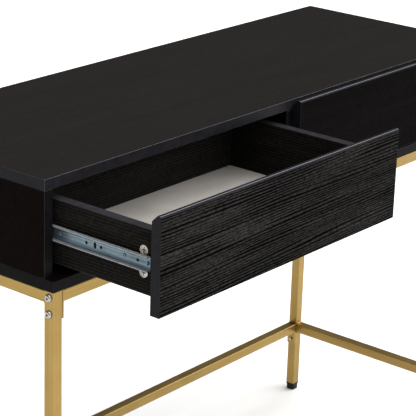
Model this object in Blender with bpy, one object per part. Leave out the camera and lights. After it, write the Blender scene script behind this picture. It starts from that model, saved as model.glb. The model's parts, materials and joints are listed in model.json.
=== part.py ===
"""Writing desk: a low case with two drawers on a welded square-tube frame.

Metres, +Z up, front towards -Y. The left drawer stands open and the right one is closed.
The origin is on the floor, under the middle of the object as it stands.
"""

import math

import bmesh
import bpy
from mathutils import Matrix, Vector

# Overall size
WIDTH = 1.100
HEIGHT = 0.800
CASE_DEPTH = 0.368
BAY_HEIGHT = 0.128  # between the worktop and the bottom panel

# Boards
BOARD = 0.016
BOARD_EDGE = 0.0005  # eased edge of an edge-banded board
FIT = 0.0003  # between two pieces that touch

# Drawer fronts
FRONT_BOARD = 0.016
FRONT_HEIGHT = 0.142
FRONT_SETBACK = 0.001  # between a closed front and the case
FRONTS_GAP = 0.010  # between the two fronts
GRIP_BEVEL = 0.010  # finger bevel on the back of the top edge
NOSE_BEVEL = 0.003  # small bevel on the face of the top edge

# Drawer boxes
BOX_SIDE = 0.016
BOX_INSIDE_DEPTH = 0.280
BOX_INSIDE_HEIGHT = 0.085
BOX_SIDE_HEIGHT = 0.094
BOX_TOP_CLEARANCE = 0.019  # below the worktop
DRAWER_BOTTOM = 0.004
GROOVE_DEPTH = 0.006

# Drawer slides
SLIDE_SPACE = 0.011  # between the case and the drawer box
SLIDE_STEEL = 0.001
SLIDE_LENGTH = 0.250
SLIDE_TRAVEL = 0.191
SLIDE_LOWERED = 0.0025  # below the middle of the bay
SLIDE_FRONT = 0.022  # front end of the cabinet member, behind the case's front edge
CABINET_MEMBER_HEIGHT = 0.031
CABINET_MEMBER_DEPTH = 0.0086
DRAWER_MEMBER_HEIGHT = 0.0215
DRAWER_MEMBER_DEPTH = 0.0075
DRAWER_MEMBER_SETBACK = 0.023  # front end of the drawer member, behind the drawer front
MEMBER_CORNER = 0.002
CAGE_STEEL = 0.0006
CAGE_LENGTH = 0.060
CAGE_HEIGHT = 0.0258
CAGE_DEPTH = 0.0065
CAGE_WALL_GAP = 0.0004  # between the cage's web and the cabinet member's
BALLS_IN_ROW = 4
SCREW_HOLE_RADIUS = 0.0024
SCREW_HOLES = (0.022, 0.088, 0.115, 0.225)  # behind the front end of the drawer member
SCREW_SLOT = 0.099
SCREW_SLOT_HEIGHT = 0.009

# Cam locks that hold the fronts
CAM_RADIUS = 0.00735
CAM_DEPTH = 0.012
CAM_RECESS = 0.0002  # below the board's face
CAM_SPACING = 0.032
CAM_SETBACK = 0.036  # behind the drawer front
CAM_DRIVE_RADIUS = 0.0024
CAM_DRIVE_DEPTH = 0.004

# Frame
TUBE = 0.018
TUBE_WALL = 0.0012
TUBE_CORNER = 0.0015
STRETCHER_UNDERSIDE = 0.130
WELD_OVERLAP = 2 * TUBE_WALL  # a welded tube runs this far into the leg, past its rounded corner
WELD_STEP = 0.0001  # from the face of one welded piece back to its neighbour's
VENT_RADIUS = 0.004  # lets a welded tube breathe into the leg
PLATE = 0.003
PLATE_DROP = 0.025  # end plate below its tube
BOLT_SPACING = 0.0245

# Bolts
BOLT_RADIUS = 0.003
BOLT_LENGTH = 0.025
HEAD_RADIUS = 0.006
HEAD_HEIGHT = 0.0033
SOCKET_APOTHEM = 0.002
SOCKET_DEPTH = 0.002

# Feet
FOOT_BASE_HEIGHT = 0.0105
FOOT_WIDTH = 0.0174
FOOT_CORNER = 0.0036
FOOT_SOLE_ROUND = 0.0026
FOOT_FLANGE = 0.004
FOOT_PLUG_HEIGHT = 0.012

ROUND_SEGMENTS = 16
SMOOTH_ANGLE = math.radians(35)

# Places worked out from the sizes
LIP = FRONT_BOARD + FRONT_SETBACK  # the bottom panel and the frame stand this far in front of the case
CASE_FRONT = (LIP + SLIDE_TRAVEL - CASE_DEPTH) / 2
CASE_BACK = CASE_FRONT + CASE_DEPTH
FRAME_FRONT = CASE_FRONT - LIP
WORKTOP_UNDERSIDE = HEIGHT - BOARD
BOTTOM_TOP = WORKTOP_UNDERSIDE - BAY_HEIGHT
FRAME_TOP = BOTTOM_TOP - BOARD - FIT
SLIDE_LEVEL = (WORKTOP_UNDERSIDE + BOTTOM_TOP) / 2 - SLIDE_LOWERED
HALF_WIDTH = WIDTH / 2
BAY_WIDTH = (WIDTH - 3 * BOARD) / 2
BOX_TOP = WORKTOP_UNDERSIDE - BOX_TOP_CLEARANCE
BOX_BOTTOM = BOX_TOP - BOX_SIDE_HEIGHT
FLOOR_TOP = BOX_TOP - BOX_INSIDE_HEIGHT
FLOOR_UNDERSIDE = FLOOR_TOP - DRAWER_BOTTOM
FRONT_BACK = CASE_FRONT - FRONT_SETBACK  # back face of a closed front
STRETCHER_TOP = STRETCHER_UNDERSIDE + TUBE
LEG_BOTTOM = FOOT_BASE_HEIGHT + FOOT_FLANGE + FIT

PAINT = {
    "worktop": ("2b2928", 0.45, 0.0),
    "board": ("191715", 0.5, 0.0),
    "front": ("211f1e", 0.5, 0.0),
    "drawer_floor": ("837e78", 0.6, 0.0),
    "gold": ("b1985d", 0.35, 0.9),
    "zinc": ("93a7b4", 0.3, 0.95),
    "cam": ("c3bdb2", 0.35, 0.9),
    "bolt": ("c9c9c7", 0.25, 1.0),
    "foot": ("161616", 0.5, 0.0),
}


def linear(code):
    """The linear colour of an sRGB hex code."""
    levels = [int(code[place : place + 2], 16) / 255 for place in (0, 2, 4)]
    return [c / 12.92 if c <= 0.04045 else ((c + 0.055) / 1.055) ** 2.4 for c in levels] + [1.0]


def new_material(name, paint):
    code, roughness, metallic = PAINT[paint]
    material = bpy.data.materials.new(name)
    material.use_nodes = True
    shader = material.node_tree.nodes["Principled BSDF"]
    shader.inputs["Base Color"].default_value = linear(code)
    shader.inputs["Roughness"].default_value = roughness
    shader.inputs["Metallic"].default_value = metallic
    material.diffuse_color = linear(code)
    material.roughness = roughness
    material.metallic = metallic
    return material


def place(name, mesh, centre, parent=None):
    """Adds an object with its origin at a point given in world coordinates."""
    obj = bpy.data.objects.new(name, mesh)
    bpy.context.scene.collection.objects.link(obj)
    obj.parent = parent
    obj.location = Vector(centre) - (parent.location if parent else Vector())
    return obj


def finish(obj, paint):
    obj.data.materials.clear()
    obj.data.materials.append(new_material(obj.name, paint))
    return obj


def helper(obj):
    """A shape that only cuts or joins another one."""
    obj.hide_render = True
    obj.display_type = "WIRE"
    return obj


def combine(obj, operation, tools):
    for tool in tools:
        modifier = obj.modifiers.new(f"{operation.lower()} {tool.name}", "BOOLEAN")
        modifier.operation = operation
        modifier.solver = "EXACT"
        modifier.object = tool


def mesh_from(name, build):
    """A mesh whose faces are made by build(bm)."""
    bm = bmesh.new()
    build(bm)
    bmesh.ops.recalc_face_normals(bm, faces=bm.faces)
    mesh = bpy.data.meshes.new(name)
    bm.to_mesh(mesh)
    bm.free()
    return mesh


def box_mesh(name, size, round_axis=None, radius=0.0):
    """A box about its own middle, with the edges along one axis rounded."""

    def build(bm):
        bmesh.ops.create_cube(bm, size=1.0, matrix=Matrix.Diagonal((*size, 1.0)))
        if round_axis is None:
            return
        spans = {e: abs((e.verts[0].co - e.verts[1].co)[round_axis]) for e in bm.edges}
        edges = [e for e, span in spans.items() if span > size[round_axis] / 2]
        bmesh.ops.bevel(bm, geom=edges, offset=radius, segments=2, profile=0.5, affect="EDGES")

    return mesh_from(name, build)


def box(name, low, high, parent=None, round_axis=None, radius=0.0):
    size = Vector(high) - Vector(low)
    centre = (Vector(high) + Vector(low)) / 2
    return place(name, box_mesh(name, size, round_axis, radius), centre, parent)


def board(name, low, high, paint, parent=None):
    """A panel from its low corner to its high corner, with eased edges."""
    obj = box(name, low, high, parent)
    edge = obj.modifiers.new("eased edges", "BEVEL")
    edge.width = BOARD_EDGE
    edge.segments = 1
    return finish(obj, paint)


def prism_mesh(name, outline, axis, length):
    """An outline swept along X or Y, from its own plane to length."""

    def build(bm):
        points = [(0.0, a, b) if axis == 0 else (a, 0.0, b) for a, b in outline]
        face = bm.faces.new([bm.verts.new(point) for point in points])
        swept = bmesh.ops.extrude_face_region(bm, geom=[face])["geom"]
        move = Vector((length, 0, 0) if axis == 0 else (0, length, 0))
        bmesh.ops.translate(bm, vec=move, verts=[v for v in swept if isinstance(v, bmesh.types.BMVert)])

    return mesh_from(name, build)


def rod(name, start, axis, length, radius, parent=None):
    """A round cutter from a point along X or Y."""

    def build(bm):
        turn = Matrix.Rotation(math.pi / 2, 4, "Y") if axis == 0 else Matrix.Rotation(-math.pi / 2, 4, "X")
        turn @= Matrix.Rotation(math.pi / ROUND_SEGMENTS, 4, "Z")
        middle = Vector((length / 2, 0, 0) if axis == 0 else (0, length / 2, 0))
        bmesh.ops.create_cone(
            bm,
            cap_ends=True,
            segments=ROUND_SEGMENTS,
            radius1=radius,
            radius2=radius,
            depth=length,
            matrix=Matrix.Translation(middle) @ turn,
        )

    return helper(place(name, mesh_from(name, build), start, parent))


def turned_mesh(name, rings, side):
    """A shape turned about X. Each ring is (x, radius function of the angle), from one end to the other."""

    def build(bm):
        angles = [math.tau * (step + 0.5) / ROUND_SEGMENTS for step in range(ROUND_SEGMENTS)]
        loops = []
        for x, radius in rings:
            points = [(side * x, radius(a) * math.cos(a), radius(a) * math.sin(a)) for a in angles]
            loops.append([bm.verts.new(point) for point in points])
        for near, far in zip(loops, loops[1:]):
            for step in range(ROUND_SEGMENTS):
                after = (step + 1) % ROUND_SEGMENTS
                bm.faces.new((near[step], near[after], far[after], far[step]))
        bm.faces.new(loops[0])
        bm.faces.new(loops[-1])

    mesh = mesh_from(name, build)
    mesh.shade_smooth()
    mesh.set_sharp_from_angle(angle=SMOOTH_ANGLE)
    return mesh


def round_ring(radius):
    return lambda angle: radius


def hexagon_ring(apothem):
    sixth = math.tau / 6
    return lambda angle: apothem / math.cos((angle + sixth / 2) % sixth - sixth / 2)


# Case


def build_case():
    inner = HALF_WIDTH - BOARD
    low, high = BOTTOM_TOP + FIT, WORKTOP_UNDERSIDE - FIT
    board(
        "worktop",
        (-HALF_WIDTH, CASE_FRONT, WORKTOP_UNDERSIDE),
        (HALF_WIDTH, CASE_BACK, HEIGHT),
        "worktop",
    )
    board(
        "bottom_panel",
        (-HALF_WIDTH, FRAME_FRONT, BOTTOM_TOP - BOARD),
        (HALF_WIDTH, CASE_BACK, BOTTOM_TOP),
        "board",
    )
    board("side_panel_left", (-HALF_WIDTH, CASE_FRONT, low), (-inner, CASE_BACK, high), "board")
    board("side_panel_right", (inner, CASE_FRONT, low), (HALF_WIDTH, CASE_BACK, high), "board")
    back_front = CASE_BACK - BOARD
    board("back_panel", (-inner + FIT, back_front, low), (inner - FIT, CASE_BACK, high), "board")
    board("divider", (-BOARD / 2, CASE_FRONT, low), (BOARD / 2, back_front - FIT, high), "board")


# Drawers


def front_outline():
    """The drawer front's end, about its lower back edge: (y, z)."""
    t, h, e = FRONT_BOARD, FRONT_HEIGHT, BOARD_EDGE
    return (
        (-e, 0),
        (-t + e, 0),
        (-t, e),
        (-t, h - NOSE_BEVEL),
        (-t + NOSE_BEVEL, h),
        (-GRIP_BEVEL, h),
        (0, h - GRIP_BEVEL),
        (0, e),
    )


def side_outline(outward):
    """A box side's end with the groove for the drawer's bottom, about its lower inner edge: (x, z)."""
    t, h = BOX_SIDE, BOX_SIDE_HEIGHT
    low = FLOOR_UNDERSIDE - BOX_BOTTOM - FIT
    high = FLOOR_TOP - BOX_BOTTOM + FIT
    outline = (
        (0, 0),
        (t, 0),
        (t, h),
        (0, h),
        (0, high),
        (GROOVE_DEPTH, high),
        (GROOVE_DEPTH, low),
        (0, low),
    )
    return [(outward * x, z) for x, z in outline]


def build_drawer(drawer, bay_left, front_left, front_right, parent):
    """One drawer, as far open as its parent, with the cam locks that hold its front."""
    open_by = parent.location.y
    back_of_front = FRONT_BACK + open_by
    sides_back = back_of_front + BOX_INSIDE_DEPTH + BOX_SIDE
    outer = {"left": bay_left + SLIDE_SPACE, "right": bay_left + BAY_WIDTH - SLIDE_SPACE}
    inner = {"left": outer["left"] + BOX_SIDE, "right": outer["right"] - BOX_SIDE}
    tuck = GROOVE_DEPTH - FIT

    mesh = prism_mesh(f"{drawer}_front", front_outline(), 0, front_right - front_left)
    start = (front_left, back_of_front, HEIGHT - FRONT_HEIGHT)
    front = finish(place(f"{drawer}_front", mesh, start, parent), "front")
    groove = box(
        f"{drawer}_front_groove",
        (inner["left"] - GROOVE_DEPTH, back_of_front - GROOVE_DEPTH, FLOOR_UNDERSIDE - FIT),
        (inner["right"] + GROOVE_DEPTH, back_of_front + GROOVE_DEPTH, FLOOR_TOP + FIT),
        parent,
    )
    combine(front, "DIFFERENCE", [helper(groove)])

    for side, outward in (("left", -1), ("right", 1)):
        name = f"{drawer}_side_{side}"
        start = (inner[side], back_of_front + FIT, BOX_BOTTOM)
        mesh = prism_mesh(name, side_outline(outward), 1, BOX_INSIDE_DEPTH + BOX_SIDE - FIT)
        piece = finish(place(name, mesh, start, parent), "board")
        pockets = []
        for level, height in (("upper", CAM_SPACING / 2), ("lower", -CAM_SPACING / 2)):
            y = back_of_front + CAM_SETBACK
            face = outer[side] + outward * FIT
            bottom = outer[side] - outward * (CAM_RECESS + CAM_DEPTH + FIT)
            pocket = rod(
                f"{name}_pocket_{level}",
                (min(face, bottom), y, SLIDE_LEVEL + height),
                0,
                abs(face - bottom),
                CAM_RADIUS + FIT,
                parent,
            )
            pockets.append(pocket)
            build_cam(f"{drawer}_cam_{side}_{level}", outer[side], outward, y, SLIDE_LEVEL + height, parent)
        combine(piece, "DIFFERENCE", pockets)

    board(
        f"{drawer}_back",
        (inner["left"] + FIT, back_of_front + BOX_INSIDE_DEPTH, FLOOR_TOP + FIT),
        (inner["right"] - FIT, sides_back, BOX_TOP),
        "board",
        parent,
    )
    low = (inner["left"] - tuck, back_of_front - tuck, FLOOR_UNDERSIDE)
    high = (inner["right"] + tuck, sides_back, FLOOR_TOP)
    finish(box(f"{drawer}_bottom", low, high, parent), "drawer_floor")


def build_cam(name, face, outward, y, z, parent):
    """A cam lock, sunk in a box side, with a round drive hole."""
    rings = (
        (CAM_DRIVE_DEPTH, round_ring(CAM_DRIVE_RADIUS)),
        (0, round_ring(CAM_DRIVE_RADIUS)),
        (0, round_ring(CAM_RADIUS)),
        (CAM_DEPTH, round_ring(CAM_RADIUS)),
    )
    mesh = turned_mesh(name, rings, -outward)
    finish(place(name, mesh, (face - outward * CAM_RECESS, y, z), parent), "cam")


# Slides


def channel_outline(depth, height, steel, corner):
    """A C channel with cut corners, its web's back on x = 0 and its mouth towards +X: (x, z)."""
    half = height / 2
    inside = max(corner - steel * (2 - math.sqrt(2)), 0.0002)
    top = (
        (0, half - corner),
        (corner, half),
        (depth, half),
        (depth, half - steel),
        (steel + inside, half - steel),
        (steel, half - steel - inside),
    )
    return top + tuple((x, -z) for x, z in reversed(top))


def mirrored(outline, side):
    return [(side * x, z) for x, z in outline]


def build_slide(name, wall, towards_box, open_by, drawer_empty, cage_empty):
    """One telescopic slide: cabinet member, ball cage and drawer member."""
    closed_front = CASE_FRONT + SLIDE_FRONT
    outline = channel_outline(CABINET_MEMBER_DEPTH, CABINET_MEMBER_HEIGHT, SLIDE_STEEL, MEMBER_CORNER)
    mesh = prism_mesh(f"{name}_cabinet_member", mirrored(outline, towards_box), 1, SLIDE_LENGTH)
    start = (wall + towards_box * FIT, closed_front, SLIDE_LEVEL)
    finish(place(f"{name}_cabinet_member", mesh, start), "zinc")

    outline = channel_outline(DRAWER_MEMBER_DEPTH, DRAWER_MEMBER_HEIGHT, SLIDE_STEEL, MEMBER_CORNER)
    mesh = prism_mesh(f"{name}_drawer_member", mirrored(outline, -towards_box), 1, SLIDE_LENGTH)
    member_front = FRONT_BACK + open_by + DRAWER_MEMBER_SETBACK
    web = wall + towards_box * (SLIDE_SPACE - FIT)
    start = (web, member_front, SLIDE_LEVEL)
    member = finish(place(f"{name}_drawer_member", mesh, start, drawer_empty), "zinc")
    build_member_holes(member, web, towards_box, member_front, drawer_empty)

    build_cage(f"{name}_ball_cage", wall, towards_box, open_by / 2, cage_empty)


def build_member_holes(member, web, towards_box, member_front, parent):
    start = web - towards_box * 2 * SLIDE_STEEL
    left = min(start, web + towards_box * SLIDE_STEEL)
    through = 3 * SLIDE_STEEL
    holes = []
    for step, setback in enumerate(SCREW_HOLES):
        middle = (left, member_front + setback, SLIDE_LEVEL)
        holes.append(rod(f"{member.name}_hole_{step}", middle, 0, through, SCREW_HOLE_RADIUS, parent))
    y = member_front + SCREW_SLOT
    low = (left, y - SCREW_HOLE_RADIUS, SLIDE_LEVEL - SCREW_SLOT_HEIGHT / 2)
    high = (left + through, y + SCREW_HOLE_RADIUS, SLIDE_LEVEL + SCREW_SLOT_HEIGHT / 2)
    slot = box(f"{member.name}_slot", low, high, parent)
    combine(member, "DIFFERENCE", [*holes, helper(slot)])


def build_cage(name, wall, towards_box, open_by, parent):
    """The cage that carries two rows of balls between the members' flanges, at half the drawer's travel."""
    overlap_front = CASE_FRONT + SLIDE_FRONT
    overlap_back = FRONT_BACK + DRAWER_MEMBER_SETBACK + SLIDE_LENGTH
    front = (overlap_front + overlap_back - CAGE_LENGTH) / 2 + open_by
    outline = channel_outline(CAGE_DEPTH, CAGE_HEIGHT, CAGE_STEEL, MEMBER_CORNER)
    mesh = prism_mesh(name, mirrored(outline, towards_box), 1, CAGE_LENGTH)
    web = wall + towards_box * (FIT + SLIDE_STEEL + CAGE_WALL_GAP)
    cage = finish(place(name, mesh, (web, front, SLIDE_LEVEL), parent), "zinc")

    race_outer = CABINET_MEMBER_HEIGHT / 2 - SLIDE_STEEL
    race_inner = DRAWER_MEMBER_HEIGHT / 2
    radius = (race_outer - race_inner) / 2 - FIT
    flange_middle = (CABINET_MEMBER_DEPTH + SLIDE_SPACE - DRAWER_MEMBER_DEPTH) / 2
    pitch = CAGE_LENGTH / BALLS_IN_ROW
    balls = []
    for row, level in (("upper", 1), ("lower", -1)):
        for step in range(BALLS_IN_ROW):
            centre = (
                wall + towards_box * flange_middle,
                front + pitch * (step + 0.5),
                SLIDE_LEVEL + level * (race_outer + race_inner) / 2,
            )
            mesh = mesh_from(
                f"{name}_ball",
                lambda bm: bmesh.ops.create_uvsphere(bm, u_segments=6, v_segments=4, radius=radius),
            )
            balls.append(helper(place(f"{name}_{row}_ball_{step}", mesh, centre, parent)))
    combine(cage, "UNION", balls)


# Frame


def tube(name, low, high, axis):
    """The outside of a square tube, with its long edges rounded."""
    return box(name, low, high, None, axis, TUBE_CORNER)


def bolt_lines():
    """Each cross member's name with the y and z of its two bolts."""
    front = FRAME_FRONT + TUBE / 2
    back = CASE_BACK - TUBE / 2
    rail = FRAME_TOP - TUBE / 2
    stretcher = STRETCHER_TOP - TUBE / 2
    return {
        "front_rail": ((front, rail), (front, rail - BOLT_SPACING)),
        "rear_rail": ((back, rail), (back, rail - BOLT_SPACING)),
        "rear_stretcher": ((back, stretcher), (back, stretcher - BOLT_SPACING)),
    }


def build_bolt_cutters():
    """One round cutter along each bolt line, right across the frame."""
    reach = HALF_WIDTH + TUBE
    cutters = {}
    for member, places in bolt_lines().items():
        cutters[member] = [
            rod(f"{member}_bolt_line_{step}", (-reach, y, z), 0, 2 * reach, BOLT_RADIUS + FIT)
            for step, (y, z) in enumerate(places)
        ]
    return cutters


def build_side_frame(name, left, bolt_cutters):
    """Two legs, a top rail and a low stretcher, welded into one piece of hollow tube."""
    right = left + TUBE
    hollow = (left + TUBE_WALL, right - TUBE_WALL)
    legs = {"front": FRAME_FRONT, "rear": CASE_BACK - TUBE}
    frame = tube(name, (left, legs["front"], LEG_BOTTOM), (right, legs["front"] + TUBE, FRAME_TOP), 2)
    rear = tube(f"{name}_rear_leg", (left, legs["rear"], LEG_BOTTOM), (right, CASE_BACK, FRAME_TOP), 2)
    joined = [helper(rear)]
    cuts = []
    for leg, front in legs.items():
        bore = box(
            f"{name}_{leg}_bore",
            (hollow[0], front + TUBE_WALL, LEG_BOTTOM - TUBE),
            (hollow[1], front + TUBE - TUBE_WALL, FRAME_TOP + TUBE),
        )
        cuts.append(helper(bore))
    run_front = legs["front"] + TUBE - WELD_OVERLAP
    run_rear = legs["rear"] + WELD_OVERLAP
    for run, low in (("rail", FRAME_TOP - TUBE), ("stretcher", STRETCHER_UNDERSIDE)):
        outside = tube(
            f"{name}_{run}",
            (left + WELD_STEP, run_front, low + WELD_STEP),
            (right - WELD_STEP, run_rear, low + TUBE - WELD_STEP),
            1,
        )
        inside = box(
            f"{name}_{run}_bore",
            (hollow[0], legs["front"] + TUBE, low + TUBE_WALL),
            (hollow[1], legs["rear"], low + TUBE - TUBE_WALL),
        )
        start = (left + TUBE / 2, run_front, low + TUBE / 2)
        vent = rod(f"{name}_{run}_vent", start, 1, run_rear - run_front, VENT_RADIUS)
        joined.append(helper(outside))
        cuts += [helper(inside), vent]
    combine(frame, "UNION", joined)
    combine(frame, "DIFFERENCE", cuts + [cutter for pair in bolt_cutters.values() for cutter in pair])
    finish(frame, "gold")


def build_cross_member(name, low_y, low_z, bolt_cutters):
    """A tube with a drilled plate welded on each end, bolted between the side frames."""
    reach = HALF_WIDTH - TUBE - FIT
    high_y, high_z = low_y + TUBE, low_z + TUBE
    member = tube(name, (-reach + PLATE / 2, low_y, low_z), (reach - PLATE / 2, high_y, high_z), 0)
    bore = box(
        f"{name}_bore",
        (-reach + PLATE, low_y + TUBE_WALL, low_z + TUBE_WALL),
        (reach - PLATE, high_y - TUBE_WALL, high_z - TUBE_WALL),
    )
    plates = []
    for side, x in (("left", -reach), ("right", reach - PLATE)):
        low = (x, low_y + WELD_STEP, low_z - PLATE_DROP)
        high = (x + PLATE, high_y - WELD_STEP, high_z - WELD_STEP)
        plates.append(helper(box(f"{name}_plate_{side}", low, high)))
    combine(member, "UNION", plates)
    combine(member, "DIFFERENCE", [helper(bore), *bolt_cutters[name]])
    finish(member, "gold")


def bolt_mesh(name, side):
    """A button-head bolt with a hexagon socket, its head's underside on x = 0."""
    top = HEAD_HEIGHT
    rings = (
        (top - SOCKET_DEPTH, hexagon_ring(SOCKET_APOTHEM)),
        (top, hexagon_ring(SOCKET_APOTHEM)),
        (top, round_ring(HEAD_RADIUS * 0.55)),
        (top * 0.75, round_ring(HEAD_RADIUS * 0.85)),
        (top * 0.3, round_ring(HEAD_RADIUS)),
        (0, round_ring(HEAD_RADIUS)),
        (0, round_ring(BOLT_RADIUS)),
        (-BOLT_LENGTH, round_ring(BOLT_RADIUS)),
    )
    return turned_mesh(name, rings, side)


def build_bolts():
    for side, direction in (("left", -1), ("right", 1)):
        mesh = bolt_mesh(f"frame_bolt_{side}", direction)
        seat = direction * (HALF_WIDTH + FIT)
        for member, places in bolt_lines().items():
            for level, (y, z) in zip(("upper", "lower"), places):
                name = f"{member}_bolt_{side}_{level}"
                finish(place(name, mesh.copy(), (seat, y, z)), "bolt")


def build_foot(name, x, y):
    """A plug foot: a rounded square pad, a square flange and the plug inside the leg."""

    def build(bm):
        height = FOOT_BASE_HEIGHT + FIT
        bmesh.ops.create_cube(bm, size=1.0)
        bmesh.ops.scale(bm, vec=(FOOT_WIDTH, FOOT_WIDTH, height), verts=bm.verts)
        bmesh.ops.translate(bm, vec=(0, 0, height / 2), verts=bm.verts)
        upright = [edge for edge in bm.edges if abs(edge.verts[0].co.z - edge.verts[1].co.z) > FIT]
        rounding = {"segments": 2, "profile": 0.5, "affect": "EDGES"}
        bmesh.ops.bevel(bm, geom=upright, offset=FOOT_CORNER, **rounding)
        sole = [edge for edge in bm.edges if all(vert.co.z < FIT for vert in edge.verts)]
        bmesh.ops.bevel(bm, geom=sole, offset=FOOT_SOLE_ROUND, **rounding)

    foot = place(name, mesh_from(name, build), (x, y, 0))
    foot.data.shade_smooth()
    foot.data.set_sharp_from_angle(angle=SMOOTH_ANGLE)
    half = TUBE / 2
    plug = half - TUBE_WALL - FIT
    flange_top = FOOT_BASE_HEIGHT + FOOT_FLANGE
    flange = box(
        f"{name}_flange",
        (x - half, y - half, FOOT_BASE_HEIGHT),
        (x + half, y + half, flange_top),
        None,
        2,
        TUBE_CORNER,
    )
    stem = box(
        f"{name}_stem",
        (x - plug, y - plug, flange_top - FIT),
        (x + plug, y + plug, flange_top + FOOT_PLUG_HEIGHT),
    )
    combine(foot, "UNION", [helper(flange), helper(stem)])
    finish(foot, "foot")


def build_frame():
    cutters = build_bolt_cutters()
    build_side_frame("side_frame_left", -HALF_WIDTH, cutters)
    build_side_frame("side_frame_right", HALF_WIDTH - TUBE, cutters)
    build_cross_member("front_rail", FRAME_FRONT, FRAME_TOP - TUBE, cutters)
    build_cross_member("rear_rail", CASE_BACK - TUBE, FRAME_TOP - TUBE, cutters)
    build_cross_member("rear_stretcher", CASE_BACK - TUBE, STRETCHER_UNDERSIDE, cutters)
    build_bolts()
    for row, y in (("front", FRAME_FRONT + TUBE / 2), ("rear", CASE_BACK - TUBE / 2)):
        for side, x in (("left", -HALF_WIDTH + TUBE / 2), ("right", HALF_WIDTH - TUBE / 2)):
            build_foot(f"foot_{row}_{side}", x, y)


# The whole desk


def build_drawers():
    bays = {"left_drawer": -HALF_WIDTH + BOARD, "right_drawer": BOARD / 2}
    fronts = {
        "left_drawer": (-HALF_WIDTH, -FRONTS_GAP / 2),
        "right_drawer": (FRONTS_GAP / 2, HALF_WIDTH),
    }
    opened = {"left_drawer": -SLIDE_TRAVEL, "right_drawer": 0.0}
    for drawer, bay_left in bays.items():
        open_by = opened[drawer]
        runner = place(f"{drawer}_runner", None, (0, open_by, 0))
        build_drawer(drawer, bay_left, *fronts[drawer], runner)
        for side, wall, towards_box in (("left", bay_left, 1), ("right", bay_left + BAY_WIDTH, -1)):
            cage_runner = place(f"{drawer}_cage_runner_{side}", None, (0, open_by / 2, 0))
            build_slide(f"{drawer}_slide_{side}", wall, towards_box, open_by, runner, cage_runner)


def main():
    for obj in list(bpy.data.objects):
        bpy.data.objects.remove(obj, do_unlink=True)
    build_case()
    build_frame()
    build_drawers()


main()
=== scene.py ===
import json
import math

import bmesh
import bpy
from mathutils import Matrix, Vector


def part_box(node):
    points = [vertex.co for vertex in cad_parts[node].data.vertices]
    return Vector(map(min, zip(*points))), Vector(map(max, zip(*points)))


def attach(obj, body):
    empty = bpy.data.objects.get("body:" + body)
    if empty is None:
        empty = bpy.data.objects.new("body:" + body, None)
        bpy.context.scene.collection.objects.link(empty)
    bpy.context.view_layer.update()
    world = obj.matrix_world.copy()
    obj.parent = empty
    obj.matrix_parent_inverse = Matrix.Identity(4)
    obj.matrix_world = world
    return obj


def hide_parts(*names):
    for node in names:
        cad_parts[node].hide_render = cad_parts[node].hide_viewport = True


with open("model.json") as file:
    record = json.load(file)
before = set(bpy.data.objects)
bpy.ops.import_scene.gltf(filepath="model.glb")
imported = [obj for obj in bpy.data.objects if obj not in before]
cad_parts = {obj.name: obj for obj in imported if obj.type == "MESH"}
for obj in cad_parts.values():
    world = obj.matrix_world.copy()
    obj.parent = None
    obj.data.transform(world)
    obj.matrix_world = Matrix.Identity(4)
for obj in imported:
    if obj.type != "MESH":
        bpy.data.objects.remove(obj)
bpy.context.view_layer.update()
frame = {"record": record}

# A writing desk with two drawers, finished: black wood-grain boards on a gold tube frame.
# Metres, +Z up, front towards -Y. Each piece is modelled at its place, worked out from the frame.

BODIES = frame["record"]["behaviour"]["bodies"]
BODY_OF = {node: body for body, nodes in BODIES.items() for node in nodes}
X, Y, Z = 0, 1, 2
MM = 0.001
SMOOTH_BELOW = 40  # degrees between faces that shade as one
SAME_PLACE = 0.02 * MM

# Boards
EASED_EDGE = 0.6 * MM  # roundness of a banded board's edges
BAND = 1.0 * MM  # thickness of the edging, seen as a rim on the board's face
BACK_BEVEL = 10 * MM  # finger bevel on the back of a drawer front's top edge
NOSE = 3 * MM  # rounding on the face of the same edge
NOSE_HIGHLIGHT_FROM = 0.75  # upward part of a nose face's normal from which it takes the painted highlight
FLOOR_GROOVE = 6 * MM
GROOVE_ROOM = 0.3 * MM  # room round a sheet in its groove, a cam in its pocket, a plug in its tube
FLOOR_EDGE = 0.3 * MM

# Cam locks
CAM_EDGE = 0.4 * MM
CAM_RIM = 1.0 * MM
CAM_STEP = 0.3 * MM  # slope from the rim down to the sunk face
CAM_SUNK = 0.5 * MM
CAM_CROSS_ARM = 8 * MM
CAM_CROSS_WIDTH = 1.6 * MM
CAM_CROSS_DEPTH = 2.2 * MM

# Frame
TUBE_CORNER = 1.5 * MM
TUBE_WALL = 1.2 * MM
TUBE = 18 * MM
STRETCHER_UNDERSIDE = 130 * MM
WELD_OVERLAP = 2 * TUBE_WALL
WELD_STEP = 0.1 * MM  # how far a tube lies inside the faces of the one it is welded to
WELD_RADIUS = 2.6 * MM
WELD_RIPPLE = 1.5 * MM  # length of one ripple of a bead
WELD_END = 0.5  # thickness of a bead at its ends, as a share of the full one
WELD_DIP = 0.9  # and between two ripples
WELD_SIDES = 12
PLATE = 3 * MM
PLATE_CORNER = 2 * MM
PLATE_EDGE = 0.4 * MM

# Bolts
HEAD_HEIGHT = 3.3 * MM
HEAD_DOME = 0.85  # share of the head's height that is domed
HEAD_SEAT_EDGE = 0.2 * MM
SHANK_RADIUS = 3 * MM
SHANK_END_EDGE = 0.6 * MM
SOCKET_RADIUS = 2.3 * MM
SOCKET_DEPTH = 2 * MM

# Feet
FOOT_WIDTH = 17.4 * MM
FOOT_CORNER = 3.6 * MM
FOOT_SOLE_ROUND = 2.6 * MM
FLANGE_LOW = 10.5 * MM
FLANGE_HIGH = 14.5 * MM
FLANGE_EDGE = 1.0 * MM
RIB = 0.8 * MM
RIBS = 3
FIRST_RIB = 2 * MM  # above the flange
RIB_PITCH = 3.5 * MM

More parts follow.
